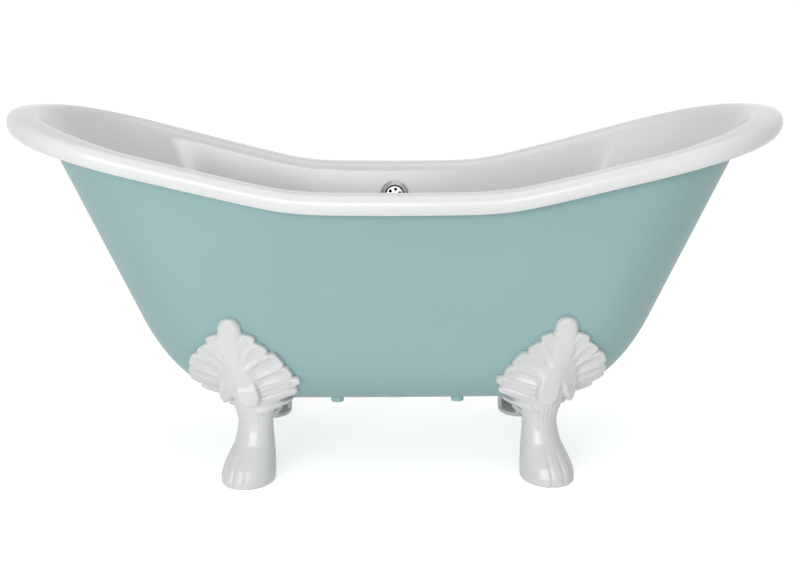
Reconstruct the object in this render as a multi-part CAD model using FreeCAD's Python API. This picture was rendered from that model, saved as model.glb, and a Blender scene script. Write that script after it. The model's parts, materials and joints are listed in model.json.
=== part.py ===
import FreeCAD, Part
import math
import os

V = FreeCAD.Vector

# Double slipper bathtub on claw feet, in millimetres.
# The origin lies on the floor under the middle of the tub, X runs along it and Z points up.

# Rim
rim_length = 1700.0
rim_width = 774.0
rim_waist = 44.0
rim_mid_height = 646.0
rim_end_rise = 160.0
rim_level_length = 444.0
rim_bend_softness = 58.0
rim_end_round = 316.0
rim_overhang = 62.0
rim_drop = 42.0
rim_thickness = 9.0
rim_lip_thickness = 6.5
rim_lip_tuck = 7.0
rim_lip_bulge = 2.5
rim_shoulder = 32.0
rim_crown = 1.5
rim_crown_inset = 3.0

# Body of the tub
base_height = 158.0
base_length = 1012.0
base_width = 468.0
base_end_round = 200.0
floor_length = 740.0
floor_width = 210.0
floor_end_round = 110.0
wall_waist = 37.0
wall_iron = 6.5
floor_iron = 8.0
enamel_thickness = 1.5
end_power = 2.12

# Small cast pads under the floor
pad_radius = 14.0
pad_drop = 2.0
pad_x = 135.0
pad_y = 150.0

# Feet
foot_x = 313.0
foot_y = 203.0
foot_turn = 28.5
leg_height = 262.0
paw_length = 124.0
paw_width = 112.0
paw_reach = 34.0
toe_groove = 9.0
crown_offset = -12.0
crown_root = 180.0
crown_height = 198.0
crown_width = 240.0
crown_thickness = 15.0
crown_step = 1.0
curl_radius = 20.0
curl_spread = 27.0
curl_forward = 38.0
curl_rise = 24.0
foot_seat_gap = 0.4
foot_wall = 10.0
foot_sole = 12.0

# Foot fixing
boss_radius = 20.0
boss_back = 70.0
shelf_drop = 12.0
shelf_thickness = 12.0
shelf_width = 62.0
stud_radius = 6.0
stud_grip = 14.0
stud_tail = 5.0
thread_gap = 0.05
shelf_hole_gap = 1.0
foot_washer_radius = 14.0
foot_washer_thickness = 2.5
foot_nut_flats = 19.0
foot_nut_height = 10.0

# Waste
waste_y = 40.0
waste_hole_gap = 2.1
tail_radius = 23.9
tail_wall = 3.4
outlet_length = 11.0
relief_width = 1.0
relief_depth = 1.0
flange_radius = 35.0
flange_height = 4.5
flange_lip_radius = 29.0
flange_edge = 0.8
seat_radius = 25.5
seat_depth = 3.0
throat_depth = 5.0
waste_washer_thickness = 2.5
washer_margin = 1.0
ring_gap = 0.3
banjo_radius = 33.0
banjo_wall = 5.0
banjo_channel = 3.0
banjo_washer_thickness = 2.5
slot_width = 10.0
backnut_flats = 62.0
backnut_height = 8.0
spider_height = 8.0
spider_hub_radius = 10.5
spider_arm = 5.0

# Plug
plug_travel = 10.0
plug_radius = 30.0
plug_lift_gap = 0.7
plug_edge = 2.0
plug_dome = 4.0
plug_boss_radius = 19.5
plug_boss_depth = 9.0
seal_radius = 25.0
seal_gap = 0.3
stem_radius = 4.0
stem_gap = 0.05
stem_overlap = 12.0
guide_radius = 7.0
guide_collar_radius = 9.0
guide_collar_height = 3.0
guide_floor = 2.0
guide_spare = 3.0

# Overflow
overflow_drop = 81.0
bezel_radius = 36.0
bezel_lip_radius = 27.0
bezel_bore = 24.0
bezel_edge = 1.2
bezel_height = 7.0
sleeve_wall = 2.0
sleeve_engage = 10.0
overflow_washer_thickness = 1.5
overflow_hole_gap = 1.0
gasket_radius = 36.0
gasket_thickness = 3.0
gasket_seat_gap = 0.1
grid_radius = 20.7
grid_thickness = 2.4
grid_hole_radius = 4.3
grid_hole_circle = 14.0
grid_hole_turn = 19.0
grid_hole_count = 6
bridge_width = 7.0
bridge_height = 4.6
screw_radius = 2.5
screw_head_radius = 4.6
screw_head_height = 2.2
elbow_flange_thickness = 4.0
elbow_wall = 3.5
elbow_depth = 32.0
spigot_length = 20.0

# Overflow pipe and its compression nuts
pipe_radius = 11.0
pipe_wall = 1.2
pipe_bend = 45.0
spigot_wall = 2.0
socket_depth = 14.0
pipe_nut_flats = 31.0
pipe_nut_skirt = 12.0
pipe_nut_cap = 6.0
pipe_nut_room = 1.0

overrun = 5.0
fuse_tolerance = 0.01

# Shares of the straight side where the outline is pinned, from the middle outwards
side_shares = [0.0, 0.12, 0.24, 0.34, 0.44, 0.56, 0.72, 0.9]
end_steps = 6
wall_low_share = 0.59
wall_high_share = 0.93
rim_edge_share = 1.012
rim_bulge_share = 0.33


def mix(start, end, share):
    return start + (end - start) * share


def quarter_outline(half_length, half_width, end_round):
    points = []
    straight = half_length - end_round
    power = 2.0 / end_power
    for step in range(end_steps + 1):
        turn = math.radians(90.0 * (1.0 - step / end_steps))
        x = straight + end_round * abs(math.sin(turn)) ** power
        y = half_width * abs(math.cos(turn)) ** power if step else 0.0
        points.append((x, y))
    for share in reversed(side_shares):
        points.append((straight * share, half_width))
    return points


def outline(half_length, half_width, end_round):
    quarter = quarter_outline(half_length, half_width, end_round)
    upper = quarter + [(-x, y) for x, y in reversed(quarter[:-1])]
    lower = [(x, -y) for x, y in reversed(upper[1:-1])]
    return upper + lower


rim_outline = outline(rim_length / 2, rim_width / 2, rim_end_round)


def bend(past):
    return (past + math.hypot(past, rim_bend_softness)) / 2


def end_rise(x):
    level = rim_level_length / 2
    flat = bend(-level)
    return rim_end_rise * (bend(abs(x) - level) - flat) / (bend(rim_length / 2 - level) - flat)


crown_heights = [rim_mid_height + end_rise(x) for x, y in rim_outline]
pinch_shares = [1.0 - end_rise(x) / rim_end_rise for x, y in rim_outline]


# Both long sides draw in towards the middle of the tub
def waisted(plan, waist):
    half_width = max(y for x, y in plan)
    return [(x, y * (1.0 - pinch * waist / half_width)) for (x, y), pinch in zip(plan, pinch_shares)]


def outline_parameters():
    total = [0.0]
    for start, end in zip(rim_outline, rim_outline[1:] + rim_outline[:1]):
        total.append(total[-1] + math.hypot(end[0] - start[0], end[1] - start[1]))
    return [value / total[-1] for value in total]


ring_parameters = outline_parameters()


def closed_curve(points, parameters):
    curve = Part.BSplineCurve()
    curve.interpolate(Points=points, PeriodicFlag=True, Parameters=parameters)
    return curve


def ring(plan, heights):
    points = [V(x, y, z) for (x, y), z in zip(plan, heights)]
    return closed_curve(points, ring_parameters)


def level_ring(length, width, end_round, height, spread):
    plan = outline(length / 2 + spread, width / 2 + spread, end_round + spread)
    return ring(plan, [height] * len(plan))


def rim_plan(inset, waist):
    plan = outline(rim_length / 2 - inset, rim_width / 2 - inset, rim_end_round - inset)
    return waisted(plan, waist)


def rim_ring(inset, drop):
    return ring(rim_plan(inset, rim_waist), [height - drop for height in crown_heights])


def wall_ring(share, inset, drop=0.0):
    low = outline(base_length / 2 - inset, base_width / 2 - inset, base_end_round - inset)
    high = rim_plan(rim_overhang + inset, wall_waist)
    plan = [(mix(x1, x2, share), mix(y1, y2, share)) for (x1, y1), (x2, y2) in zip(low, high)]
    heights = [mix(base_height, height - rim_thickness, share) - drop for height in crown_heights]
    return ring(plan, heights)


def skin(rings, degree):
    spans = len(rings) - degree
    poles = [[curve.getPole(i + 1) for curve in rings] for i in range(rings[0].NbPoles)]
    ends = degree + 1
    level_mults = [ends] + [1] * (spans - 1) + [ends]
    level_knots = [i / spans for i in range(spans + 1)]
    surface = Part.BSplineSurface()
    surface.buildFromPolesMultsKnots(poles, rings[0].getMultiplicities(), level_mults, rings[0].getKnots(),
                                     level_knots, True, False, rings[0].Degree, degree)
    return surface.toShape()


def cap(curve):
    return Part.Face(Part.Wire(curve.toShape()))


def closed_solid(faces):
    shell = Part.Shell(faces)
    shell.sewShape()
    solid = Part.Solid(shell)
    if solid.Volume < 0:
        solid.reverse()
    return solid


def outside_rings():
    lip_inset = rim_lip_tuck + enamel_thickness
    return [
        level_ring(floor_length, floor_width, floor_end_round, base_height, 0.0),
        level_ring(base_length, base_width, base_end_round, base_height, 0.0),
        wall_ring(wall_low_share, 0.0),
        wall_ring(wall_high_share, 0.0),
        wall_ring(1.0, 0.0),
        rim_ring(lip_inset + rim_lip_thickness, rim_thickness),
        rim_ring(lip_inset + rim_lip_thickness, rim_drop),
        rim_ring(lip_inset, rim_drop),
    ]


# The inner surface, grown from the iron towards the user by the thickness of a coat
def inside_rings(coat):
    under = enamel_thickness - coat
    floor_level = base_height + floor_iron + coat
    return [
        rim_ring(rim_lip_tuck + under, rim_drop),
        rim_ring(under - rim_lip_bulge, mix(rim_drop, rim_thickness, rim_bulge_share)),
        rim_ring(rim_crown_inset + under, rim_crown + under),
        rim_ring(rim_shoulder, under - rim_crown),
        wall_ring(rim_edge_share, wall_iron + coat, under),
        wall_ring(wall_high_share, wall_iron + coat),
        wall_ring(wall_low_share, wall_iron + coat),
        level_ring(base_length, base_width, base_end_round, floor_level, -wall_iron - coat),
        level_ring(floor_length, floor_width, floor_end_round, floor_level, 0.0),
    ]


def round_bar(radius, bottom, top, x=0.0, y=0.0):
    return Part.makeCylinder(radius, top - bottom, V(x, y, bottom))


def tube(outer, inner, bottom, top, x=0.0, y=0.0):
    return round_bar(outer, bottom, top, x, y).cut(round_bar(inner, bottom, top, x, y))


def hexagon(flats, bottom, top):
    radius = flats / math.sqrt(3.0)
    turns = [math.radians(60.0 * i) for i in range(7)]
    points = [V(radius * math.cos(turn), radius * math.sin(turn), bottom) for turn in turns]
    return Part.Face(Part.makePolygon(points)).extrude(V(0, 0, top - bottom))


def turned(points):
    corners = [V(radius, 0, height) for radius, height in points]
    outline_wire = Part.makePolygon(corners + corners[:1])
    return Part.Face(outline_wire).revolve(V(0, 0, 0), V(0, 0, 1), 360)


# Where the wall stands at the overflow, and how much it leans
overflow_height = rim_mid_height - overflow_drop
wall_rise = rim_mid_height - rim_thickness - base_height
wall_top_half_width = rim_width / 2 - rim_overhang - wall_waist
wall_lean = math.atan2(wall_top_half_width - base_width / 2, wall_rise)
overflow_share = (overflow_height - base_height) / wall_rise
overflow_outside = mix(base_width / 2, wall_top_half_width, overflow_share)
overflow_point = V(0, overflow_outside - wall_iron - enamel_thickness, overflow_height)
overflow_inward = V(0, -math.cos(wall_lean), math.sin(wall_lean))
wall_through = (wall_iron + enamel_thickness) * math.cos(wall_lean)
sleeve_radius = bezel_bore + sleeve_wall
overflow_hole = sleeve_radius + overflow_hole_gap


def at_overflow(shape):
    shape.Placement = FreeCAD.Placement(overflow_point, FreeCAD.Rotation(V(0, 0, 1), overflow_inward))
    return shape


waste_hole = tail_radius + waste_hole_gap
floor_iron_top = base_height + floor_iron
floor_top = floor_iron_top + enamel_thickness


def drill(shape):
    waste = round_bar(waste_hole, base_height - overrun, floor_top + overrun, 0, waste_y)
    overflow = at_overflow(round_bar(overflow_hole, -wall_through - overrun, overrun))
    return shape.cut(waste).cut(overflow)


shelf_top = base_height - shelf_drop
shelf_bottom = shelf_top - shelf_thickness


def foot_boss_place():
    turn = math.radians(foot_turn)
    return foot_x - boss_back * math.sin(turn), foot_y - boss_back * math.cos(turn)


corners = [(-1, -1), (1, -1), (-1, 1), (1, 1)]


def tub_casting():
    rings = outside_rings()
    inner = inside_rings(0.0)
    shell = closed_solid([skin(rings, 2), skin(inner, 2), cap(rings[0]), cap(inner[-1])])
    wall_middle = envelope(-wall_iron / 2)
    boss_x, boss_y = foot_boss_place()
    for side, end in corners:
        boss = round_bar(boss_radius, shelf_top, rim_mid_height, side * boss_x, end * boss_y)
        pad = round_bar(pad_radius, base_height - pad_drop, rim_mid_height, side * pad_x, end * pad_y)
        shell = shell.fuse([boss.cut(wall_middle), pad.cut(wall_middle)])
    for side, end in corners:
        bore = round_bar(stud_radius + thread_gap, shelf_top - overrun, shelf_top + stud_grip,
                         side * boss_x, end * boss_y)
        shell = shell.cut(bore)
    return drill(shell)


def enamel_lining():
    iron = inside_rings(0.0)
    glass = inside_rings(enamel_thickness)
    lip = Part.makeRuledSurface(iron[0].toShape(), glass[0].toShape())
    faces = [skin(iron, 2), skin(glass, 2), lip, cap(iron[-1]), cap(glass[-1])]
    return drill(closed_solid(faces))


# The tub as a solid block, grown by a margin, to seat the feet on
def envelope(margin):
    top = rim_mid_height + rim_end_rise
    rings = [
        level_ring(floor_length, floor_width, floor_end_round, base_height - margin, 0.0),
        level_ring(base_length, base_width, base_end_round, base_height - margin, margin),
        wall_ring(wall_low_share, -margin),
        wall_ring(1.0, -margin),
        level_ring(rim_length, rim_width, rim_end_round, top, 0.0),
    ]
    return closed_solid([skin(rings, 2), cap(rings[0]), cap(rings[-1])])


# Height, reach, depth and width of the leg and paw, and how deep the toes are cut there
leg_section_shares = [
    (0.0, 1.0, 0.93, 0.93, 0.8),
    (0.023, 1.0, 1.0, 1.0, 1.0),
    (0.078, 0.97, 1.0, 1.01, 1.0),
    (0.156, 0.8, 0.96, 0.97, 0.8),
    (0.237, 0.5, 0.84, 0.89, 0.3),
    (0.325, 0.22, 0.7, 0.79, 0.0),
    (0.435, 0.05, 0.6, 0.72, 0.0),
    (0.508, 0.0, 0.57, 0.7, 0.0),
    (0.588, 0.03, 0.58, 0.77, 0.0),
    (0.683, 0.12, 0.62, 0.98, 0.0),
    (0.775, 0.3, 0.6, 1.15, 0.0),
    (0.885, 0.6, 0.52, 1.05, 0.0),
    (1.0, 0.95, 0.36, 0.7, 0.0),
]
toe_turns = [-28.0, 0.0, 28.0]
toe_groove_turn = 10.0
leg_points = 48


def leg_ring(height, reach, depth, width, cut):
    points = []
    for i in range(leg_points):
        turn = 360.0 * i / leg_points - 180.0
        groove = sum(math.exp(-((turn - toe) / toe_groove_turn) ** 2) for toe in toe_turns)
        keep = 1.0 - groove * cut / depth
        forward = depth * keep * math.cos(math.radians(turn))
        across = width * keep * math.sin(math.radians(turn))
        points.append(V(across, -reach - forward, height))
    return closed_curve(points, [i / leg_points for i in range(leg_points + 1)])


def leg_and_paw():
    rings = []
    hollow = []
    for height, reach, depth, width, cut in leg_section_shares:
        reach = reach * paw_reach
        depth = depth * paw_length / 2
        width = width * paw_width / 2
        rings.append(leg_ring(height * leg_height, reach, depth, width, cut * toe_groove))
        shift = (foot_wall + toe_groove * cut + overrun) / 2
        hollow.append(leg_ring(mix(foot_sole, leg_height + overrun, height), reach - shift,
                               depth + overrun - shift, width - foot_wall, 0.0))
    leg = closed_solid([skin(rings, 3), cap(rings[0]), cap(rings[-1])])
    return leg.cut(closed_solid([skin(hollow, 3), cap(hollow[0]), cap(hollow[-1])]))


# Tip across, tip height and half width of each lobe of the leaf crown, from the middle outwards
lobe_shares = [
    (0.0, 1.0, 0.185),
    (0.267, 0.81, 0.135),
    (0.45, 0.69, 0.125),
    (0.683, 0.56, 0.13),
    (0.833, 0.38, 0.135),
    (1.0, 0.28, 0.12),
    (0.833, 0.146, 0.1),
    (0.683, -0.02, 0.1),
]
lobe_root_share = 0.3


def lobe_blank(tip_across, tip_height, half_width):
    tip = V(tip_across, 0, crown_root + tip_height)
    root = V(tip_across * lobe_root_share, 0, crown_root)
    along = (tip - root).normalize()
    across = V(along.z, 0, -along.x)
    centre = tip - along * half_width
    left = centre - across * half_width
    right = centre + across * half_width
    edges = [
        Part.LineSegment(root - across * half_width, left).toShape(),
        Part.Arc(left, tip, right).toShape(),
        Part.LineSegment(right, root + across * half_width).toShape(),
        Part.LineSegment(root + across * half_width, root - across * half_width).toShape(),
    ]
    reach = crown_width
    blank = Part.Face(Part.Wire(edges)).extrude(V(0, -2 * reach, 0))
    blank.translate(V(crown_offset, reach, 0))
    return blank


def place_foot(shape):
    shape.rotate(V(0, 0, 0), V(0, 0, 1), -foot_turn)
    shape.translate(V(-foot_x, -foot_y, 0))
    return shape


def leaf_crown():
    lobes = []
    for layer, (across, height, half_width) in enumerate(lobe_shares):
        sides = [1] if across == 0 else [1, -1]
        front = envelope(crown_thickness - layer * crown_step)
        for side in sides:
            blank = place_foot(lobe_blank(side * across * crown_width / 2, height * crown_height,
                                          half_width * crown_width / 2))
            lobes.append(blank.common(front))
    return lobes


def foot():
    leg = place_foot(leg_and_paw())
    shelf = Part.makeBox(shelf_width, boss_back + boss_radius + foot_wall, shelf_thickness,
                         V(-shelf_width / 2, -foot_wall, shelf_bottom))
    pieces = [place_foot(shelf)] + leaf_crown()
    for side in (1, -1):
        centre = V(side * curl_spread, -curl_forward, crown_root + curl_rise)
        curl = Part.makeSphere(curl_radius, centre)
        pieces.append(place_foot(curl))
    body = leg.fuse(pieces, fuse_tolerance).cut(envelope(foot_seat_gap))
    boss_x, boss_y = foot_boss_place()
    boss_room = round_bar(boss_radius + shelf_hole_gap, shelf_top, rim_mid_height, -boss_x, -boss_y)
    hole = round_bar(stud_radius + shelf_hole_gap, 0, shelf_top + overrun, -boss_x, -boss_y)
    body = body.cut(boss_room).cut(hole)
    solids = sorted(body.Solids, key=lambda solid: solid.Volume)
    return solids[-1]


def at_each_boss(shape):
    boss_x, boss_y = foot_boss_place()
    copies = []
    for side, end in corners:
        copy = shape.copy()
        copy.translate(V(side * boss_x, end * boss_y, 0))
        copies.append(copy)
    return Part.makeCompound(copies)


foot_nut_top = shelf_bottom - foot_washer_thickness
foot_nut_bottom = foot_nut_top - foot_nut_height


def foot_studs():
    return at_each_boss(round_bar(stud_radius, foot_nut_bottom - stud_tail, shelf_top + stud_grip))


def foot_washers():
    return at_each_boss(tube(foot_washer_radius, stud_radius + shelf_hole_gap, foot_nut_top, shelf_bottom))


def foot_nuts():
    nut = hexagon(foot_nut_flats, foot_nut_bottom, foot_nut_top)
    return at_each_boss(nut.cut(round_bar(stud_radius + thread_gap, foot_nut_bottom, foot_nut_top)))


# Heights of the waste stack, from the tub floor down
flange_bottom = floor_top + waste_washer_thickness
flange_top = flange_bottom + flange_height
banjo_top = base_height - banjo_washer_thickness
banjo_middle = base_height - pipe_nut_room - pipe_nut_flats / 2
banjo_height = 2 * (banjo_top - banjo_middle)
banjo_bottom = banjo_top - banjo_height
backnut_top = banjo_bottom - banjo_washer_thickness
backnut_bottom = backnut_top - backnut_height
tail_bore = tail_radius - tail_wall
outlet_top = backnut_bottom - relief_width
tail_end = outlet_top - outlet_length
spider_top = base_height
spider_bottom = spider_top - spider_height


def at_waste(shape):
    shape.translate(V(0, waste_y, 0))
    return shape


def waste_flange():
    body = turned([
        (tail_bore, tail_end),
        (tail_radius, tail_end),
        (tail_radius, outlet_top),
        (tail_radius - relief_depth, outlet_top),
        (tail_radius - relief_depth, outlet_top + relief_width),
        (tail_radius, outlet_top + relief_width),
        (tail_radius, flange_bottom),
        (flange_radius, flange_bottom),
        (flange_radius, flange_bottom + flange_edge),
        (flange_lip_radius, flange_top),
        (flange_lip_radius - flange_edge, flange_top),
        (seat_radius, flange_top - seat_depth),
        (tail_bore, flange_top - throat_depth),
    ])
    slot_height = banjo_height - 2 * banjo_wall
    for turn in (0, 90):
        slot = Part.makeBox(2 * banjo_radius, slot_width, slot_height,
                            V(-banjo_radius, -slot_width / 2, banjo_middle - slot_height / 2))
        slot.rotate(V(0, 0, 0), V(0, 0, 1), turn)
        body = body.cut(slot)
    hub = round_bar(spider_hub_radius, spider_bottom, spider_top)
    for turn in (45, 135):
        arm = Part.makeBox(2 * tail_bore + tail_wall, spider_arm, spider_height,
                           V(-tail_bore - tail_wall / 2, -spider_arm / 2, spider_bottom))
        arm.rotate(V(0, 0, 0), V(0, 0, 1), turn)
        hub = hub.fuse(arm)
    body = body.fuse(hub).cut(round_bar(guide_radius + thread_gap, spider_bottom, spider_top))
    return at_waste(body)


def waste_washer():
    return at_waste(tube(flange_radius - washer_margin, tail_radius + ring_gap, floor_top, flange_bottom))


def banjo_washers():
    outer = banjo_radius - washer_margin
    inner = tail_radius + ring_gap
    upper = tube(outer, inner, banjo_top, base_height)
    lower = tube(outer, inner, backnut_top, banjo_bottom)
    return at_waste(Part.makeCompound([upper, lower]))


spigot_radius = pipe_radius + spigot_wall
socket_radius = pipe_radius + thread_gap
pipe_bore = pipe_radius - pipe_wall
banjo_spigot_end = banjo_radius + spigot_length


def along_y(shape, start):
    shape.rotate(V(0, 0, 0), V(1, 0, 0), -90)
    shape.translate(V(0, start, banjo_middle))
    return shape


def waste_banjo():
    body = round_bar(banjo_radius, banjo_bottom, banjo_top)
    body = body.fuse(along_y(round_bar(spigot_radius, 0, banjo_spigot_end), 0))
    body = body.cut(round_bar(tail_radius + ring_gap, banjo_bottom, banjo_top))
    channel = round_bar(tail_radius + banjo_channel, banjo_bottom + banjo_wall, banjo_top - banjo_wall)
    body = body.cut(channel)
    body = body.cut(along_y(round_bar(pipe_bore, 0, banjo_spigot_end), 0))
    body = body.cut(along_y(round_bar(socket_radius, 0, socket_depth), banjo_spigot_end - socket_depth))
    return at_waste(body)


def waste_backnut():
    nut = hexagon(backnut_flats, backnut_bottom, backnut_top)
    return at_waste(nut.cut(round_bar(tail_radius + thread_gap, backnut_bottom, backnut_top)))


def pipe_nut():
    length = pipe_nut_skirt + pipe_nut_cap
    nut = hexagon(pipe_nut_flats, 0, length)
    nut = nut.cut(round_bar(spigot_radius + thread_gap, 0, pipe_nut_skirt))
    return nut.cut(round_bar(socket_radius, 0, length))


def banjo_nut():
    return at_waste(along_y(pipe_nut(), banjo_spigot_end - pipe_nut_skirt))


cap_bottom = flange_top + plug_lift_gap
boss_bottom = cap_bottom - plug_boss_depth
stem_bottom = spider_top + guide_collar_height - plug_travel - stem_overlap
guide_bottom = stem_bottom - guide_spare - guide_floor


def plug_cap():
    top = cap_bottom + plug_edge
    body = round_bar(plug_radius, cap_bottom, top)
    ball = (plug_radius ** 2 + plug_dome ** 2) / (2 * plug_dome)
    dome = Part.makeSphere(ball, V(0, 0, top + plug_dome - ball))
    dome = dome.common(round_bar(plug_radius, top, top + plug_dome))
    body = body.fuse(dome).fuse(round_bar(plug_boss_radius, boss_bottom, cap_bottom))
    return at_waste(body.removeSplitter())


def plug_seal():
    bottom = flange_top - seat_depth + seal_gap
    return at_waste(tube(seal_radius, plug_boss_radius + thread_gap, bottom, cap_bottom))


def plug_stem():
    return at_waste(round_bar(stem_radius, stem_bottom, boss_bottom))


def plug_guide():
    body = round_bar(guide_radius, guide_bottom, spider_top)
    body = body.fuse(round_bar(guide_collar_radius, spider_top, spider_top + guide_collar_height))
    bore = round_bar(stem_radius + stem_gap, guide_bottom + guide_floor, spider_top + guide_collar_height)
    return at_waste(body.cut(bore))


# Depths of the overflow stack, measured out of the tub from the enamel
bezel_bottom = overflow_washer_thickness
gasket_top = -wall_through - gasket_seat_gap
gasket_bottom = gasket_top - gasket_thickness
elbow_back = gasket_bottom - elbow_depth
sleeve_end = gasket_bottom - sleeve_engage
elbow_middle = (gasket_bottom + elbow_back + elbow_wall) / 2
bridge_top = bezel_bottom - overflow_washer_thickness / 2
elbow_bore = sleeve_radius + thread_gap
elbow_radius = elbow_bore + elbow_wall


def overflow_washer():
    return at_overflow(tube(bezel_radius - washer_margin, overflow_hole, 0, bezel_bottom))


def overflow_bezel():
    body = turned([
        (bezel_bore, sleeve_end),
        (sleeve_radius, sleeve_end),
        (sleeve_radius, bezel_bottom),
        (bezel_radius, bezel_bottom),
        (bezel_radius, bezel_bottom + bezel_edge),
        (bezel_lip_radius, bezel_bottom + bezel_height),
        (bezel_lip_radius - bezel_edge, bezel_bottom + bezel_height),
        (bezel_bore, bezel_bottom + bezel_height - bezel_edge),
    ])
    bridge = Part.makeBox(bridge_width, 2 * bezel_bore + sleeve_wall, bridge_height,
                          V(-bridge_width / 2, -bezel_bore - sleeve_wall / 2, bridge_top - bridge_height))
    screw_hole = round_bar(screw_radius + thread_gap, bridge_top - bridge_height, bridge_top)
    return at_overflow(body.fuse(bridge).cut(screw_hole))


def overflow_grid():
    top = bridge_top + grid_thickness
    body = round_bar(grid_radius, bridge_top, top)
    for i in range(grid_hole_count):
        turn = math.radians(grid_hole_turn + 360.0 * i / grid_hole_count)
        body = body.cut(round_bar(grid_hole_radius, bridge_top, top,
                                  grid_hole_circle * math.cos(turn), grid_hole_circle * math.sin(turn)))
    return at_overflow(body.cut(round_bar(screw_radius + thread_gap, bridge_top, top)))


def overflow_screw():
    seat = bridge_top + grid_thickness
    ball = (screw_head_radius ** 2 + screw_head_height ** 2) / (2 * screw_head_height)
    head = Part.makeSphere(ball, V(0, 0, seat + screw_head_height - ball))
    head = head.common(round_bar(screw_head_radius, seat, seat + screw_head_height))
    return at_overflow(head.fuse(round_bar(screw_radius, bridge_top - bridge_height, seat)))


def overflow_gasket():
    return at_overflow(tube(gasket_radius, overflow_hole, gasket_bottom, gasket_top))


elbow_point = overflow_point + overflow_inward * elbow_middle
elbow_spigot_end = elbow_point.z - elbow_radius - spigot_length


def overflow_elbow():
    flange = round_bar(gasket_radius, gasket_bottom - elbow_flange_thickness, gasket_bottom)
    body = flange.fuse(round_bar(elbow_radius, elbow_back, gasket_bottom))
    hollow = at_overflow(round_bar(elbow_bore, elbow_back + elbow_wall, gasket_bottom))
    spigot = round_bar(spigot_radius, elbow_spigot_end, elbow_point.z, 0, elbow_point.y)
    bore = round_bar(pipe_bore, elbow_spigot_end, elbow_point.z, 0, elbow_point.y)
    socket = round_bar(socket_radius, elbow_spigot_end, elbow_spigot_end + socket_depth, 0, elbow_point.y)
    return at_overflow(body).fuse(spigot).cut(hollow).cut(bore).cut(socket)


def elbow_nut():
    nut = pipe_nut()
    nut.rotate(V(0, 0, 0), V(1, 0, 0), 180)
    nut.translate(V(0, elbow_point.y, elbow_spigot_end + pipe_nut_skirt))
    return nut


def overflow_pipe():
    start = V(0, waste_y + banjo_spigot_end - socket_depth, banjo_middle)
    low = V(0, elbow_point.y - pipe_bend, banjo_middle)
    high = V(0, elbow_point.y, banjo_middle + pipe_bend)
    end = V(0, elbow_point.y, elbow_spigot_end + socket_depth)
    slant = pipe_bend * math.sin(math.radians(45.0))
    middle = V(0, low.y + slant, high.z - slant)
    path = Part.Wire([
        Part.LineSegment(start, low).toShape(),
        Part.Arc(low, middle, high).toShape(),
        Part.LineSegment(high, end).toShape(),
    ])

    def swept(radius):
        section = Part.Wire(Part.makeCircle(radius, start, V(0, 1, 0)))
        return path.makePipeShell([section], True, False)

    return swept(pipe_radius).cut(swept(pipe_bore))


def feet():
    front_left = foot()
    front_right = front_left.mirror(V(0, 0, 0), V(1, 0, 0))
    return {
        "foot_front_left": front_left,
        "foot_front_right": front_right,
        "foot_rear_left": front_left.mirror(V(0, 0, 0), V(0, 1, 0)),
        "foot_rear_right": front_right.mirror(V(0, 0, 0), V(0, 1, 0)),
    }


def main():
    os.makedirs("parts", exist_ok=True)
    makers = [
        tub_casting, enamel_lining, foot_studs, foot_washers, foot_nuts,
        waste_flange, waste_washer, banjo_washers, waste_banjo, waste_backnut, banjo_nut,
        plug_cap, plug_seal, plug_stem, plug_guide,
        overflow_washer, overflow_bezel, overflow_grid, overflow_screw, overflow_gasket,
        overflow_elbow, elbow_nut, overflow_pipe,
    ]
    shapes = {maker.__name__: maker() for maker in makers}
    shapes.update(feet())
    for name, shape in shapes.items():
        shape.exportStep("parts/" + name + ".step")
        print(name, len(shape.Solids), shape.isValid(), round(shape.Volume))


main()
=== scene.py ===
import json
import math
import bmesh
import bpy
import numpy as np
from mathutils import Matrix, Vector
from mathutils.bvhtree import BVHTree


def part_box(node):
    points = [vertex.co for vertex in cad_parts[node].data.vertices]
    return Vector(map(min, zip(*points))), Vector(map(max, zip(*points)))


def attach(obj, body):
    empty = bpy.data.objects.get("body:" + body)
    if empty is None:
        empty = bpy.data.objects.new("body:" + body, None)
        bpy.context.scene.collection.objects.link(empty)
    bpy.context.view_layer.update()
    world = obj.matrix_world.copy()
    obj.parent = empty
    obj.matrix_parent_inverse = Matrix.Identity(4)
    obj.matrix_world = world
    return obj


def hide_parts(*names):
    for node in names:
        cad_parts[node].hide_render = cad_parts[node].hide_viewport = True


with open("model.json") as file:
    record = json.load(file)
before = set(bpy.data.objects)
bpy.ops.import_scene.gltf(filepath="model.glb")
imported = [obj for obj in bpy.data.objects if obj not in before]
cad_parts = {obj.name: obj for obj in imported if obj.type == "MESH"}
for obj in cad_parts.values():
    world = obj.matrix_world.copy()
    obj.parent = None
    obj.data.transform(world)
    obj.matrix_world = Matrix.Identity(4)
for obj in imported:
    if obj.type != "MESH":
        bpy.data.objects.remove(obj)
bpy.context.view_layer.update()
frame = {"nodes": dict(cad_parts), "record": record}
nodes = frame["nodes"]
record = frame["record"]
mm = 0.001
print("frame loaded,", len(nodes), "nodes")


# materials: a noise is given by its scale and detail, a bump by its strength and distance

mottleSpan = (0.3, 0.7)  # part of the noise over which a colour changes


def newMaterial(name, colour, roughness, metallic=0.0):
    material = bpy.data.materials.new(name)
    material.use_nodes = True
    tree = material.node_tree
    shader = tree.nodes["Principled BSDF"]
    shader.inputs["Base Color"].default_value = (*colour, 1.0)
    shader.inputs["Roughness"].default_value = roughness
    shader.inputs["Metallic"].default_value = metallic
    return material, tree, shader


def addNoise(tree, scale, detail=2.0):
    place = tree.nodes.new("ShaderNodeTexCoord")
    noise = tree.nodes.new("ShaderNodeTexNoise")
    noise.inputs["Scale"].default_value = scale
    noise.inputs["Detail"].default_value = detail
    tree.links.new(place.outputs["Object"], noise.inputs["Vector"])
    return noise.outputs["Fac"]


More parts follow.
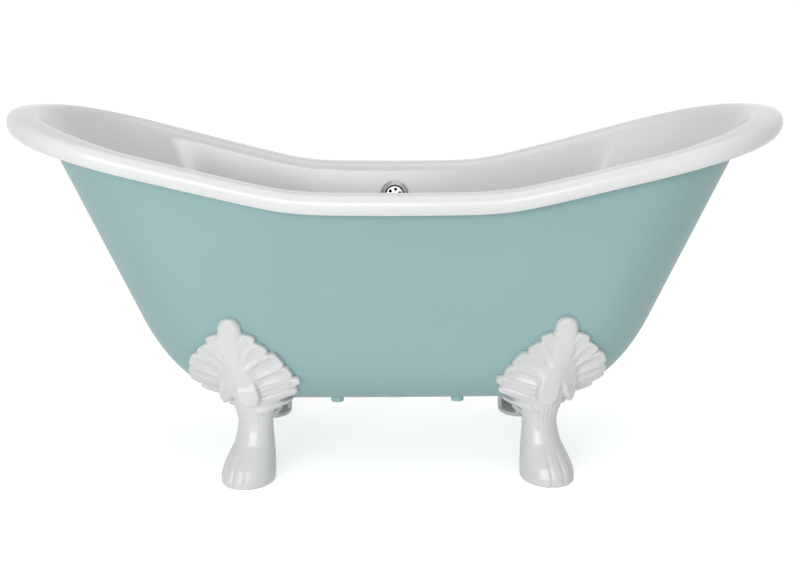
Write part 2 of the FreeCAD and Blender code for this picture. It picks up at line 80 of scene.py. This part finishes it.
def addRamp(tree, shader, fac, ends, places=(0.0, 1.0)):
    ramp = tree.nodes.new("ShaderNodeValToRGB")
    for element, colour, place in zip(ramp.color_ramp.elements, ends, places):
        element.position = place
        element.color = (*colour, 1.0)
    tree.links.new(fac, ramp.inputs["Fac"])
    tree.links.new(ramp.outputs["Color"], shader.inputs["Base Color"])


def varyColour(tree, shader, fac, colour, spread):
    ends = [tuple(channel * factor for channel in colour) for factor in spread]
    addRamp(tree, shader, fac, ends, mottleSpan)


def varyRoughness(tree, shader, fac, low, high):
    span = tree.nodes.new("ShaderNodeMapRange")
    span.inputs["To Min"].default_value = low
    span.inputs["To Max"].default_value = high
    tree.links.new(fac, span.inputs["Value"])
    tree.links.new(span.outputs["Result"], shader.inputs["Roughness"])


def addBump(tree, shader, fac, strength, distance):
    bump = tree.nodes.new("ShaderNodeBump")
    bump.inputs["Strength"].default_value = strength
    bump.inputs["Distance"].default_value = distance
    tree.links.new(fac, bump.inputs["Height"])
    tree.links.new(bump.outputs["Normal"], shader.inputs["Normal"])


def makeCoat(look):
    material, tree, shader = newMaterial(look["name"], look["colour"], look["roughness"][0])
    varyColour(tree, shader, addNoise(tree, *look["mottle"]), look["colour"], look["spread"])
    varyRoughness(tree, shader, addNoise(tree, *look["wear"]), *look["roughness"])
    shader.inputs["Specular IOR Level"].default_value = look["specular"]
    addBump(tree, shader, addNoise(tree, *look["ripple"]), *look["bump"])
    return material


tubPaint = {  # satin blue green, with a fine orange peel
    "name": "tubPaint", "colour": (0.326, 0.496, 0.502), "roughness": (0.36, 0.46), "specular": 0.3,
    "mottle": (2.2, 4.0), "spread": (0.975, 1.02), "wear": (14.0, 3.0),
    "ripple": (260.0, 2.0), "bump": (0.06, 0.0006),
}
enamel = {  # glossy white glass coat, a little wavy
    "name": "whiteEnamel", "colour": (0.82, 0.825, 0.825), "roughness": (0.16, 0.2), "specular": 0.5,
    "mottle": (3.0, 3.0), "spread": (0.985, 1.01), "wear": (20.0, 2.0),
    "ripple": (9.0, 1.0), "bump": (0.05, 0.004),
}
footPaint = {  # gloss white over a cast surface
    "name": "footWhite", "colour": (0.745, 0.745, 0.75), "roughness": (0.2, 0.28), "specular": 0.5,
    "mottle": (18.0, 4.0), "spread": (0.97, 1.01), "wear": (40.0, 2.0),
    "ripple": (180.0, 2.0), "bump": (0.05, 0.0008),
}

metals = {
    "chrome_plate": {"colour": (0.78, 0.79, 0.8), "roughness": (0.05, 0.1), "grain": (60.0, 3.0)},
    "brass_cast": {"colour": (0.62, 0.45, 0.2), "roughness": (0.3, 0.45), "grain": (220.0, 3.0)},
    "plain_steel": {"colour": (0.52, 0.52, 0.53), "roughness": (0.28, 0.42), "grain": (160.0, 3.0)},
}
metalSpread = (0.94, 1.0)


def makeMetal(slot):
    look = metals[slot]
    material, tree, shader = newMaterial(slot, look["colour"], look["roughness"][0], 1.0)
    grain = addNoise(tree, *look["grain"])
    varyColour(tree, shader, grain, look["colour"], metalSpread)
    varyRoughness(tree, shader, grain, *look["roughness"])
    return material


rubber = {
    "colour": (0.022, 0.022, 0.023), "roughness": 0.6,
    "grain": (300.0, 2.0), "spread": (0.8, 1.2), "bump": (0.1, 0.0005),
}


def makeRubber():
    material, tree, shader = newMaterial("blackRubber", rubber["colour"], rubber["roughness"])
    grain = addNoise(tree, *rubber["grain"])
    varyColour(tree, shader, grain, rubber["colour"], rubber["spread"])
    addBump(tree, shader, grain, *rubber["bump"])
    return material


overflowLook = {  # painted shade: the metal is coloured near black inside the bore, from each piece's own depth on
    "paintedShadeColour": (0.012, 0.012, 0.012), "bore": 24.2 * mm, "depth": 43.0 * mm, "soft": 1.0 * mm,
    "grain": (80.0, 2.0), "wear": (0.8, 1.2),
    "pieces": {
        "overflow_bezel": ("overflowRing", (0.3, 0.305, 0.31), 0.3, 4.0 * mm),
        "overflow_grid": ("overflowGrid", (0.72, 0.72, 0.73), 0.35, -0.7 * mm),
        "overflow_elbow": ("overflowElbow", metals["chrome_plate"]["colour"], 0.1, 0.0),
    },
}


def vectorStep(tree, operation, source, value=None):
    step = tree.nodes.new("ShaderNodeVectorMath")
    step.operation = operation
    tree.links.new(source, step.inputs[0])
    if value is not None:
        step.inputs[1].default_value = value
    return step.outputs


def compare(tree, operation, source, limit):
    step = tree.nodes.new("ShaderNodeMath")
    step.operation = operation
    step.inputs[1].default_value = limit
    tree.links.new(source, step.inputs[0])
    return step.outputs["Value"]


def combine(tree, operation, first, second):
    step = tree.nodes.new("ShaderNodeMath")
    step.operation = operation
    tree.links.new(first, step.inputs[0])
    tree.links.new(second, step.inputs[1])
    return step.outputs["Value"]


def overflowAxis():
    grid = nodes["overflow_grid"].data
    inward = max(grid.polygons, key=lambda face: face.area).normal.copy()
    low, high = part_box("overflow_grid")
    return (low + high) / 2, inward if inward.y < 0 else -inward


# painted shade: mask that is 1 inside the bore radius past the given depth, where the metal gets the shade colour
def boreShade(tree, shadeDepth):
    centre, inward = overflowAxis()
    place = tree.nodes.new("ShaderNodeTexCoord")
    away = vectorStep(tree, "SUBTRACT", place.outputs["Object"], centre)["Vector"]
    depth = vectorStep(tree, "DOT_PRODUCT", away, inward)["Value"]
    radius = vectorStep(tree, "LENGTH", vectorStep(tree, "CROSS_PRODUCT", away, inward)["Vector"])["Value"]
    deep = tree.nodes.new("ShaderNodeMapRange")
    deep.inputs["From Min"].default_value = shadeDepth + overflowLook["soft"]
    deep.inputs["From Max"].default_value = shadeDepth
    tree.links.new(depth, deep.inputs["Value"])
    inner = compare(tree, "LESS_THAN", radius, overflowLook["bore"])
    within = compare(tree, "GREATER_THAN", depth, -overflowLook["depth"])
    return combine(tree, "MULTIPLY", deep.outputs["Result"], combine(tree, "MULTIPLY", inner, within))


def makeOverflowMetal(name, colour, roughness, shadeDepth):
    material, tree, shader = newMaterial(name, colour, roughness, 1.0)
    # painted shade: the bore is coloured near black in place of the shade the lamps would cast there
    addRamp(tree, shader, boreShade(tree, shadeDepth), (colour, overflowLook["paintedShadeColour"]))
    low, high = (roughness * factor for factor in overflowLook["wear"])
    varyRoughness(tree, shader, addNoise(tree, *overflowLook["grain"]), low, high)
    return material


finishes = {slot: makeMetal(slot) for slot in metals}
finishes["tub_paint"] = makeCoat(tubPaint)
finishes["white_enamel"] = makeCoat(enamel)
finishes["foot_white"] = makeCoat(footPaint)
finishes["black_rubber"] = makeRubber()
for part in record["subparts"]:
    node = nodes[part["node"]]
    node.data.materials.clear()
    node.data.materials.append(finishes[part["material_slot"]])
for name, look in overflowLook["pieces"].items():
    nodes[name].data.materials[0] = makeOverflowMetal(*look)
print("finishes made:", len(finishes) + len(overflowLook["pieces"]))


# claw feet: one is sculpted in millimetres in its own frame, u across, f forward, z up, then mirrored

foot = {
    "axis": (-313.0, -203.0), "turn": 28.5, "crownOffset": -12.0, "leanSpan": (120.0, 260.0), "seatGap": 0.5,
    "voxel": 1.75, "smooth": 3, "smoothFactor": 0.5,
    "sides": {"front_left": (1, 1), "front_right": (-1, 1), "rear_left": (1, -1), "rear_right": (-1, -1)},
}
turn = math.radians(foot["turn"])
footAcross = Vector((math.cos(turn), -math.sin(turn), 0.0))
footForward = Vector((-math.sin(turn), -math.cos(turn), 0.0))
footAxis = Vector((*foot["axis"], 0.0))

leg = {  # height, reach forward, half depth, half width
    "sections": [
        (0.0, 34.0, 59.0, 53.0), (5.0, 34.0, 64.0, 57.0), (20.0, 33.0, 64.0, 58.0), (41.0, 27.0, 60.0, 55.5),
        (62.0, 17.0, 52.0, 50.5), (85.0, 7.0, 44.0, 44.0), (114.0, 2.0, 37.5, 40.0), (133.0, 0.0, 36.0, 39.0),
        (154.0, 1.0, 37.0, 42.0), (170.0, 2.0, 38.0, 46.0), (200.0, 4.0, 38.0, 46.0),
    ],
    "wall": 11.0, "sole": 12.0, "hollowTurn": 128.0, "top": 190.0, "ringStep": 2.0, "ringPoints": 220,
    "toeTurns": (-29.0, -1.0, 27.0), "toeGroove": 3.4, "toeWidth": 3.0, "toeTop": (50.0, 84.0),
    "reedTurn": 13.0, "reedHeight": 2.0, "reedPower": 1.3, "reedFloor": 0.55,
    "reedStart": (100.0, 150.0), "reedEnd": (166.0, 190.0), "reedSide": (98.0, 118.0),
}

knee = {  # height, front, half width, how far the sides fall back
    "sections": [
        (150.0, 38.0, 41.0, 37.0), (166.0, 40.0, 47.0, 38.0), (181.0, 43.0, 61.0, 52.0), (193.0, 47.0, 74.0, 66.0),
        (203.0, 49.0, 84.0, 78.0), (215.0, 52.0, 90.0, 85.0), (232.0, 55.0, 88.0, 82.0), (262.0, 58.0, 74.0, 60.0),
        (300.0, 52.0, 60.0, 45.0), (400.0, 0.0, 50.0, 45.0),
    ],
    "openOut": (158.0, 186.0), "join": 16.0, "proud": 6.0,
}

petals = [  # root, bend and tip as across and height on the crown, half width, rise at root and tip
    {"root": (0, 225), "bend": (0, 300), "tip": (0, 379), "width": 23, "rise": (9, 16),  # middle leaf
     "scoop": -1.0, "end": 2.2, "cap": 0.8, "round": 12},
    {"root": (5, 250), "bend": (20, 300), "tip": (36, 341), "width": 15, "rise": (8, 16),
     "scoop": 4.0, "end": 4.0, "cap": 0.76, "round": 6},
    {"root": (7, 240), "bend": (33, 284), "tip": (58, 317), "width": 17, "rise": (8, 17),
     "scoop": 7.0, "end": 4.2, "cap": 0.76, "round": 6},
    {"root": (9, 230), "bend": (47, 262), "tip": (87, 288), "width": 20, "rise": (8, 18),
     "scoop": 10.0, "end": 4.4, "cap": 0.78, "round": 6},
    {"root": (14, 214), "bend": (58, 240), "tip": (103, 257), "width": 16, "rise": (8, 17),
     "scoop": 9.0, "end": 3.6, "cap": 0.78, "round": 6},
    {"root": (22, 192), "bend": (62, 212), "tip": (116, 237), "width": 11, "rise": (5, 15),
     "scoop": 4.0, "end": 2.6, "cap": 0.7, "round": 5},
    {"root": (24, 172), "bend": (58, 188), "tip": (103, 212), "width": 8.5, "rise": (3, 14),
     "scoop": 1.5, "end": 2.4, "cap": 0.75, "round": 6},
    {"root": (26, 154), "bend": (52, 165), "tip": (80, 178), "width": 8, "rise": (2, 13),
     "scoop": 1.0, "end": 2.4, "cap": 0.75, "round": 6},
    {"root": (13, 258), "bend": (24, 232), "tip": (29, 185), "width": 20, "rise": (5, 23),  # leaf on the nose
     "scoop": 4.5, "end": 2.6, "cap": 0.68, "round": 6},
]
petalEdge = {
    "steps": 80, "rootFade": 0.35, "rootShare": 0.6, "widen": 0.6, "least": 0.5, "riseSpan": (0.1, 0.95),
    "scoopPower": 0.7, "softJoin": 4.0, "softGate": 4.0,
}
plate = {  # height and half width of the smooth middle of the leaf
    "sections": [
        (188.0, 0.0), (205.0, 58.0), (230.0, 62.0), (260.0, 50.0), (290.0, 34.0), (320.0, 18.0), (350.0, 0.0),
    ],
    "rise": 8.0, "soft": 30.0,
}
relief = {
    "step": 1.2, "across": 140.0, "low": 152.0, "high": 388.0, "depth": 26.0, "least": 0.6,
    "rayStart": 500.0, "nothing": -400.0, "farthest": -110.0,
}


def smoothStep(low, high, value):
    share = np.clip((value - low) / (high - low), 0.0, 1.0)
    return share * share * (3.0 - 2.0 * share)


def smoothMax(first, second, soft):
    return (first + second + np.sqrt((first - second) ** 2 + soft ** 2)) / 2.0


def softTop(first, second, soft, gate):
    near = np.clip(1.0 - np.abs(first - second) / soft, 0.0, 1.0)
    both = smoothStep(0.0, gate, np.minimum(first, second))
    return np.maximum(first, second) + near ** 2 * soft / 4.0 * both


def sectionAt(piece, height):
    table = np.array(piece["sections"])
    return [np.interp(height, table[:, 0], table[:, k]) for k in (1, 2, 3)]


def crownLean(height):
    return foot["crownOffset"] * smoothStep(*foot["leanSpan"], height)


def reeds(turnDeg, height):
    wave = np.abs(np.cos(np.pi * turnDeg / leg["reedTurn"])) ** leg["reedPower"] - leg["reedFloor"]
    fade = smoothStep(*leg["reedStart"], height) * (1.0 - smoothStep(*leg["reedEnd"], height))
    side = 1.0 - smoothStep(*leg["reedSide"], np.abs(turnDeg))
    return leg["reedHeight"] * wave * fade * side


def toes(turnDeg, height, halfWidth):
    total = 0.0
    for toe in leg["toeTurns"]:
        distance = np.radians(turnDeg - toe) * halfWidth
        total = total + np.exp(-(distance / leg["toeWidth"]) ** 2)
    return -leg["toeGroove"] * total * (1.0 - smoothStep(*leg["toeTop"], height))


def toWorld(u, f, z):
    return (footAxis + footAcross * u + footForward * f + Vector((0, 0, z))) * mm


def tubFront(u, z):
    mesh = nodes["tub_casting"].data
    corners = [vertex.co for vertex in mesh.vertices]
    tree = BVHTree.FromPolygons(corners, [tuple(face.vertices) for face in mesh.polygons])
    front = np.full(u.shape, relief["nothing"])
    for place in np.ndindex(u.shape):
        hit = tree.ray_cast(toWorld(u[place], relief["rayStart"], z[place]), -footForward)
        if hit[0] is not None:
            front[place] = relief["rayStart"] - hit[3] / mm
    return front


def petalLine(petal, side):
    steps = np.linspace(0.0, 1.0, petalEdge["steps"] + 1)[:, None]
    root, bend, tip = (np.array([side * petal[k][0], petal[k][1]], float) for k in ("root", "bend", "tip"))
    return root * (1 - steps) ** 2 + 2 * bend * steps * (1 - steps) + tip * steps ** 2


def petalPlace(c, z, line):  # share of the way from root to tip, and distance from the middle line
    along = np.gradient(line, axis=0)
    along /= np.linalg.norm(along, axis=1)[:, None]
    length = np.sum(np.linalg.norm(np.diff(line, axis=0), axis=1))
    gap = (c[..., None] - line[:, 0]) ** 2 + (z[..., None] - line[:, 1]) ** 2
    near = gap.argmin(-1)
    away = np.stack([c - line[near, 0], z - line[near, 1]], -1)
    direction = along[near]
    forward = (away * direction).sum(-1)
    offset = np.abs(away[..., 0] * direction[..., 1] - away[..., 1] * direction[..., 0])
    return near / petalEdge["steps"] + forward / length, offset


def petalRelief(c, z, petal, side):
    share, offset = petalPlace(c, z, petalLine(petal, side))
    rootShare = petalEdge["rootShare"]
    width = petal["width"] * (rootShare + (1 - rootShare) * smoothStep(0.0, petalEdge["widen"], share))
    past = np.clip((share - petal["cap"]) / (1.0 - petal["cap"]), 0.0, 1.0)
    width = width * (1.0 - past ** petal["end"]) ** (1.0 / petal["end"])
    margin = np.clip((width - offset) / petal["round"], 0.0, 1.0)
    edge = np.sqrt(1.0 - (1.0 - margin) ** 2)
    across = np.clip(offset / np.maximum(width, petalEdge["least"]), 0.0, 1.0)
    low, high = petal["rise"]
    height = low + (high - low) * smoothStep(*petalEdge["riseSpan"], share)
    hollow = np.sin(np.pi * np.clip(share, 0.0, 1.0)) ** petalEdge["scoopPower"]
    height = height - petal["scoop"] * (1.0 - across ** 2) * hollow
    return height * edge * smoothStep(0.0, petalEdge["rootFade"], share)


def crownRelief(u, z):
    c = u - foot["crownOffset"]
    table = np.array(plate["sections"])
    inside = np.interp(z, table[:, 0], table[:, 1]) - np.abs(c)
    total = plate["rise"] * smoothStep(0.0, plate["soft"], inside)
    for petal in petals:
        for side in ((1,) if petal["tip"][0] == 0 else (1, -1)):
            leaf = petalRelief(c, z, petal, side)
            total = softTop(total, leaf, petalEdge["softJoin"], petalEdge["softGate"])
    return total


def kneeFront(u, z):
    front, width, fall = sectionAt(knee, z)
    share = (u - crownLean(z)) / width
    bounded = np.clip(share, -1.0, 1.0)
    flare = smoothStep(*knee["openOut"], z)
    form = (1.0 - flare) * (1.0 - np.sqrt(1.0 - bounded ** 2)) + flare * share ** 2
    reached = (flare > 0) | (np.abs(share) < 1.0)
    return np.where(reached, front - fall * form, relief["nothing"]), bounded


def crownMesh():
    across = np.arange(-relief["across"], relief["across"], relief["step"])
    heights = np.arange(relief["low"], relief["high"], relief["step"])
    u, z = np.meshgrid(across, heights)
    tub = tubFront(u, z)
    ahead, share = kneeFront(u, z)
    base = smoothMax(tub, ahead, knee["join"])
    slopeZ, slopeU = np.gradient(base, relief["step"])
    size = np.sqrt(1.0 + slopeU ** 2 + slopeZ ** 2)
    height = crownRelief(u, z) + reeds(np.degrees(np.arcsin(share)), z) * (np.abs(share) < 1.0)
    kept = (height > relief["least"]) | ((ahead > tub + knee["proud"]) & (np.abs(share) < 1.0))
    kept &= base > relief["farthest"]  # leaves out what lies beyond the tub
    front = np.stack([u - slopeU / size * height, base + height / size, z - slopeZ / size * height], -1)
    back = np.stack([u, np.maximum(tub + foot["seatGap"], base - relief["depth"]), z], -1)
    return closedSheet(front, back, kept)


def closedSheet(front, back, kept):
    count = int(kept.sum())
    number = np.full(kept.shape, -1)
    number[kept] = np.arange(count)
    corners = [number[:-1, :-1], number[:-1, 1:], number[1:, 1:], number[1:, :-1]]
    quads = np.stack(corners, -1).reshape(-1, 4)
    quads = [tuple(int(i) for i in quad) for quad in quads[(quads >= 0).all(1)]]
    edges = dict.fromkeys((quad[k], quad[(k + 1) % 4]) for quad in quads for k in range(4))
    walls = [(b, b + count, a + count, a) for a, b in edges if (b, a) not in edges]
    faces = quads + [tuple(i + count for i in quad[::-1]) for quad in quads] + walls
    return np.concatenate([front[kept], back[kept]]), faces


def loft(rings):
    points = len(rings[0])
    faces = []
    for level in range(len(rings) - 1):
        low, high = level * points, (level + 1) * points
        for i in range(points):
            j = (i + 1) % points
            faces.append((low + i, low + j, high + j, high + i))
    faces.append(tuple(range(points))[::-1])
    faces.append(tuple((len(rings) - 1) * points + i for i in range(points)))
    return np.concatenate(rings), faces


def legRing(height, turns, inset):
    reach, depth, width = (float(value) for value in sectionAt(leg, height))
    swell = reeds(turns, height) + toes(turns, height, width) if inset == 0 else 0.0
    angle = np.radians(turns)
    u = (width - inset + swell) * np.sin(angle) + float(crownLean(height))
    f = reach + (depth - inset + swell) * np.cos(angle)
    return np.stack([u, f, np.full(turns.shape, height)], -1)


def legMesh():  # open at the back, as the cast leg is
    span = leg["hollowTurn"]
    outer = np.linspace(-span, span, leg["ringPoints"])
    inner = np.linspace(span, -span, leg["ringPoints"] // 2)
    heights = np.arange(leg["sole"] - leg["ringStep"], leg["top"], leg["ringStep"])
    return loft([np.concatenate([legRing(h, outer, 0), legRing(h, inner, leg["wall"])]) for h in heights])


def soleMesh():
    turns = np.linspace(-180.0, 180.0, 2 * leg["ringPoints"], endpoint=False)
    heights = np.arange(0.0, leg["sole"] + leg["ringStep"], leg["ringStep"])
    return loft([legRing(h, turns, 0) for h in heights])


shelf = {  # plate behind the leg that takes the stud, all in u and f
    "half": 31.0, "nose": (22.0, 30.0), "sides": (5.0, -20.0), "boss": -70.0, "endRadius": 19.0,
    "thick": 12.0, "endSteps": 16,
}


def shelfMesh():
    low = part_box("foot_washers")[1].z / mm
    radius = shelf["endRadius"]
    turns = np.radians(np.linspace(0.0, -180.0, shelf["endSteps"]))
    noseHalf, noseFront = shelf["nose"]
    plan = [(-noseHalf, noseFront), (noseHalf, noseFront)] + [(shelf["half"], f) for f in shelf["sides"]]
    plan += [(radius * math.cos(t), shelf["boss"] + radius * math.sin(t)) for t in turns]
    plan += [(-shelf["half"], f) for f in reversed(shelf["sides"])]
    return loft([np.array([(u, f, z) for u, f in plan[::-1]]) for z in (low, low + shelf["thick"])])


def addObject(name, data):
    thing = bpy.data.objects.new(name, data)
    bpy.context.scene.collection.objects.link(thing)
    return thing


def largestPiece(mesh):  # drops crumbs that the remesh leaves
    ends = np.empty(len(mesh.edges) * 2, int)
    mesh.edges.foreach_get("vertices", ends)
    first, second = ends.reshape(-1, 2).T
    label = np.arange(len(mesh.vertices))
    before = None
    while before is None or (label != before).any():
        before = label.copy()
        np.minimum.at(label, first, label[second])
        np.minimum.at(label, second, label[first])
        label = label[label]
    main = np.bincount(label).argmax()
    work = bmesh.new()
    work.from_mesh(mesh)
    crumbs = [vertex for vertex in work.verts if label[vertex.index] != main]
    bmesh.ops.delete(work, geom=crumbs, context="VERTS")
    work.to_mesh(mesh)
    work.free()


def footBlank():
    points, faces = [], []
    for part in (soleMesh(), legMesh(), crownMesh(), shelfMesh()):
        first = sum(len(block) for block in points)
        points.append(part[0])
        faces += [tuple(i + first for i in face) for face in part[1]]
    mesh = bpy.data.meshes.new("footBlank")
    mesh.from_pydata([toWorld(*point) for point in np.concatenate(points)], [], faces)
    return addObject("footBlank", mesh)


def sculptFoot():
    blank = footBlank()
    remesh = blank.modifiers.new("merge", "REMESH")
    remesh.mode = "VOXEL"
    remesh.voxel_size = foot["voxel"] * mm
    smooth = blank.modifiers.new("soften", "SMOOTH")
    smooth.factor = foot["smoothFactor"]
    smooth.iterations = foot["smooth"]
    cast = bpy.data.meshes.new_from_object(blank.evaluated_get(bpy.context.evaluated_depsgraph_get()))
    bpy.data.objects.remove(blank)
    place = np.empty(len(cast.vertices) * 3)
    cast.vertices.foreach_get("co", place)
    place[2::3] = np.maximum(place[2::3], 0.0)  # the sole stays on the floor
    cast.vertices.foreach_set("co", place)
    largestPiece(cast)
    print("foot sculpted,", len(cast.polygons), "faces")
    return cast


def placeFeet():
    cast = sculptFoot()
    for name, (sideX, sideY) in foot["sides"].items():
        mesh = cast.copy()
        mesh.transform(Matrix.Diagonal((sideX, sideY, 1, 1)))
        if sideX * sideY < 0:
            mesh.flip_normals()
        mesh.polygons.foreach_set("use_smooth", [True] * len(mesh.polygons))
        mesh.materials.clear()
        mesh.materials.append(finishes["foot_white"])
        piece = addObject("clawFoot_" + name, mesh)
        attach(piece, "tub")
        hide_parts("foot_" + name)
    print("feet placed:", len(foot["sides"]))


placeFeet()


# studio: pale floor with a swept backdrop, soft lamps, camera at the photograph's angle

studio = {
    "floorHalf": 8.0, "back": 4.5, "sweep": 2.5, "sweepSteps": 16, "top": 6.0,
    "colour": (0.9, 0.9, 0.9), "roughness": 0.8, "mottle": (0.6, 2.0), "spread": (0.995, 1.0), "lift": 0.62,
}


def seenDirectly(tree, otherwise, seen):
    path = tree.nodes.new("ShaderNodeLightPath")
    level = tree.nodes.new("ShaderNodeMapRange")
    level.inputs["To Min"].default_value = otherwise
    level.inputs["To Max"].default_value = seen
    direct = combine(tree, "MAXIMUM", path.outputs["Is Camera Ray"], path.outputs["Is Glossy Ray"])
    tree.links.new(direct, level.inputs["Value"])
    return level.outputs["Result"]


def makeFloorPaint():
    material, tree, shader = newMaterial("paleFloor", studio["colour"], studio["roughness"])
    varyColour(tree, shader, addNoise(tree, *studio["mottle"]), studio["colour"], studio["spread"])
    shader.inputs["Emission Color"].default_value = (1.0, 1.0, 1.0, 1.0)
    tree.links.new(seenDirectly(tree, 0.0, studio["lift"]), shader.inputs["Emission Strength"])
    return material


def makeFloor():
    half, sweep = studio["floorHalf"], studio["sweep"]
    profile = [(-half, 0.0), (studio["back"], 0.0)]
    for step in range(1, studio["sweepSteps"] + 1):
        angle = math.radians(90.0 * step / studio["sweepSteps"])
        profile.append((studio["back"] + sweep * math.sin(angle), sweep * (1 - math.cos(angle))))
    profile.append((profile[-1][0], studio["top"]))
    points = [(x, y, z) for y, z in profile for x in (-half, half)]
    faces = [(2 * i, 2 * i + 1, 2 * i + 3, 2 * i + 2) for i in range(len(profile) - 1)]
    mesh = bpy.data.meshes.new("floor")
    mesh.from_pydata(points, [], faces)
    mesh.polygons.foreach_set("use_smooth", [True] * len(mesh.polygons))
    mesh.materials.append(makeFloorPaint())
    floor = addObject("floor", mesh)


lamps = {
    "keyLamp": {"place": (-1.2, -4.2, 1.2), "aim": (0.0, 0.0, 0.45), "size": (3.2, 1.5), "watts": 88.0},
    "fillLamp": {"place": (1.9, -4.0, 1.2), "aim": (0.1, 0.0, 0.4), "size": (2.6, 2.0), "watts": 3.0},
    "topLamp": {"place": (0.6, -0.3, 3.6), "aim": (0.0, 0.0, 0.4), "size": (3.6, 2.6), "watts": 29.0},
}


def makeLamps():
    for name, lamp in lamps.items():
        data = bpy.data.lights.new(name, "AREA")
        data.shape = "RECTANGLE"
        data.size, data.size_y = lamp["size"]
        data.energy = lamp["watts"]
        light = addObject(name, data)
        light.location = lamp["place"]
        ray = Vector(lamp["aim"]) - Vector(lamp["place"])
        light.rotation_euler = ray.to_track_quat("-Z", "Y").to_euler()


skyLight = {"strength": 0.35, "seen": 1.0}


def makeWorld():
    world = bpy.data.worlds.new("studio")
    bpy.context.scene.world = world
    world.use_nodes = True
    tree = world.node_tree
    background = tree.nodes["Background"]
    background.inputs["Color"].default_value = (1.0, 1.0, 1.0, 1.0)
    strength = seenDirectly(tree, skyLight["strength"], skyLight["seen"])
    tree.links.new(strength, background.inputs["Strength"])


camera = {  # fitted to the photograph
    "place": (-0.0404, -2.4997, 0.94), "tilt": 77.663, "yaw": -1.1218,
    "lens": 49.119, "sensor": 36.0, "reach": 60.0,
}


def makeCamera():
    data = bpy.data.cameras.new("camera")
    data.sensor_width = camera["sensor"]
    data.lens = camera["lens"]
    data.clip_end = camera["reach"]
    eye = addObject("camera", data)
    eye.location = camera["place"]
    eye.rotation_euler = (math.radians(camera["tilt"]), 0.0, math.radians(camera["yaw"]))
    bpy.context.scene.camera = eye


makeFloor()
makeLamps()
makeWorld()
makeCamera()
bpy.context.scene.view_settings.view_transform = "Standard"
print("studio ready")
